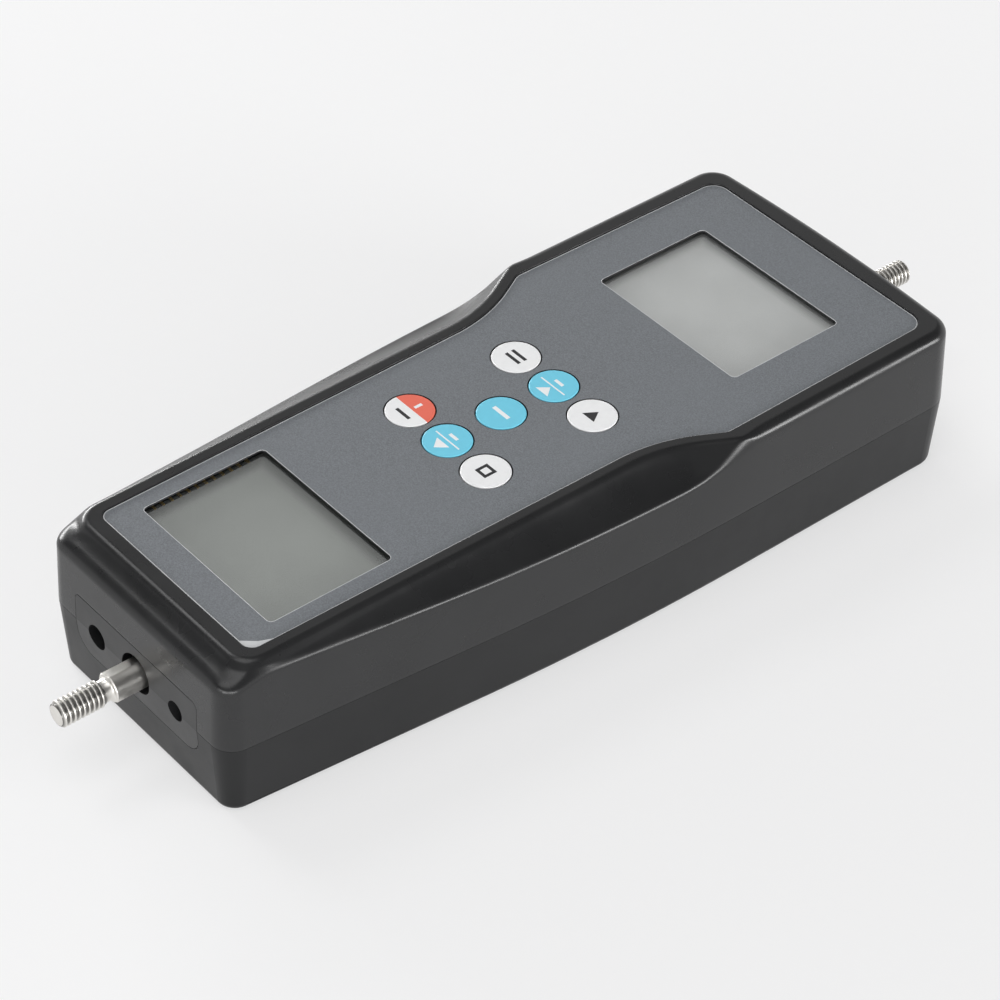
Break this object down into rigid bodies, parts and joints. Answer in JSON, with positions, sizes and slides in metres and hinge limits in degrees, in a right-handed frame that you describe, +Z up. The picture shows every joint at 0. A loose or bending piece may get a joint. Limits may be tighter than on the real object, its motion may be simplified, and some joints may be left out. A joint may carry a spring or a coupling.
{
  "type": "force gauge",
  "caption": "Hand-held digital force gauge lying on its back: black moulded case with a waisted grey panel, displays, round keys, a measuring rod and a hanging stud.",
  "frame": {"origin": "middle of the whole instrument's footprint, on the surface it lies on", "axes": "+Y along the measuring axis from the measuring rod to the hanging stud, +Z up through the front panel, +X across to the right as a reader sees the keys with the rod towards them"},
  "size_m": [0.0816, 0.2402, 0.0383],
  "materials": {
    "case": "fine satin grain, moulded",
    "end_plate": "fine satin grain, moulded",
    "panel": "fine-grained grey satin",
    "window": "clear polished sheet",
    "upper_display": "light grey display glass",
    "lower_display": "greenish grey display glass",
    "display_frame": "moulded, light",
    "gold": "gold plated",
    "circuit_board": "green solder mask",
    "chip": "black moulding compound",
    "socket": "black, with a bright centre pin",
    "screw_steel": "zinc plated",
    "key_white": "smooth satin",
    "key_blue": "smooth satin",
    "key_red": "smooth satin",
    "plunger": "moulded",
    "rod_steel": "bright turned stainless",
    "load_cell": "milled and anodised",
    "gauge_foil": "thin foil on amber film",
    "chassis": "plain sheet and bar",
    "insert_brass": "turned",
    "battery": "green shrink sleeve",
    "cradle": "moulded"
  },
  "bodies": {
    "instrument": {"lower_case": "case", "upper_case": "case", "end_plate": "end_plate", "panel_overlay": "panel", "upper_window": "window", "lower_window": "window", "upper_lcd": "upper_display", "lower_lcd": "lower_display", "upper_lcd_frame": "display_frame", "lower_lcd_frame": "display_frame", "upper_lcd_pins": "gold", "lower_lcd_pins": "gold", "main_board": "circuit_board", "socket_board": "circuit_board", "amplifier_board": "circuit_board", "board_chips": "chip", "amplifier_chips": "chip", "key_switches": "chip", "charge_socket": "socket", "data_socket": "socket", "case_screws": "screw_steel", "board_screws": "screw_steel", "chassis_screws": "screw_steel", "load_cell_screws": "screw_steel", "stud_block_screws": "screw_steel", "hanging_stud": "rod_steel", "stud_nut": "rod_steel", "load_cell_web": "load_cell", "load_cell_base": "load_cell", "load_cell_spacer": "load_cell", "strain_gauges": "gauge_foil", "chassis_plate": "chassis", "stud_block": "chassis", "board_pillars": "chassis", "floor_spacers": "chassis", "mount_inserts": "insert_brass", "battery_cells": "battery", "battery_cradle": "cradle"},
    "measuring_chain": {"measuring_rod": "rod_steel", "rod_lock_nut": "rod_steel", "load_cell_head": "load_cell"},
    "key_body_upper_left": {"key_upper_left": "key_white", "plunger_upper_left": "plunger"},
    "key_body_upper_middle": {"key_upper_middle": "key_blue", "plunger_upper_middle": "plunger"},
    "key_body_upper_right": {"key_upper_right": "key_white", "plunger_upper_right": "plunger"},
    "key_body_centre": {"key_centre": "key_blue", "plunger_centre": "plunger"},
    "key_body_lower_left": {"key_lower_left": "key_red", "plunger_lower_left": "plunger"},
    "key_body_lower_middle": {"key_lower_middle": "key_blue", "plunger_lower_middle": "plunger"},
    "key_body_lower_right": {"key_lower_right": "key_white", "plunger_lower_right": "plunger"}
  },
  "joints": [
    {"name": "rod_load_travel", "type": "slide", "parent": "instrument", "child": "measuring_chain", "axis": [0, -1, 0], "range_m": [-0.00025, 0.00025], "stiffness_N_per_m": 390000, "deforming": ["load_cell_web"]},
    {"name": "key_press_upper_left", "type": "slide", "parent": "instrument", "child": "key_body_upper_left", "axis": [0, 0, -1], "range_m": [0, 0.0003], "stiffness_N_per_m": 3000},
    {"name": "key_press_upper_middle", "type": "slide", "parent": "instrument", "child": "key_body_upper_middle", "axis": [0, 0, -1], "range_m": [0, 0.0003], "stiffness_N_per_m": 3000},
    {"name": "key_press_upper_right", "type": "slide", "parent": "instrument", "child": "key_body_upper_right", "axis": [0, 0, -1], "range_m": [0, 0.0003], "stiffness_N_per_m": 3000},
    {"name": "key_press_centre", "type": "slide", "parent": "instrument", "child": "key_body_centre", "axis": [0, 0, -1], "range_m": [0, 0.0003], "stiffness_N_per_m": 3000},
    {"name": "key_press_lower_left", "type": "slide", "parent": "instrument", "child": "key_body_lower_left", "axis": [0, 0, -1], "range_m": [0, 0.0003], "stiffness_N_per_m": 3000},
    {"name": "key_press_lower_middle", "type": "slide", "parent": "instrument", "child": "key_body_lower_middle", "axis": [0, 0, -1], "range_m": [0, 0.0003], "stiffness_N_per_m": 3000},
    {"name": "key_press_lower_right", "type": "slide", "parent": "instrument", "child": "key_body_lower_right", "axis": [0, 0, -1], "range_m": [0, 0.0003], "stiffness_N_per_m": 3000}
  ]
}
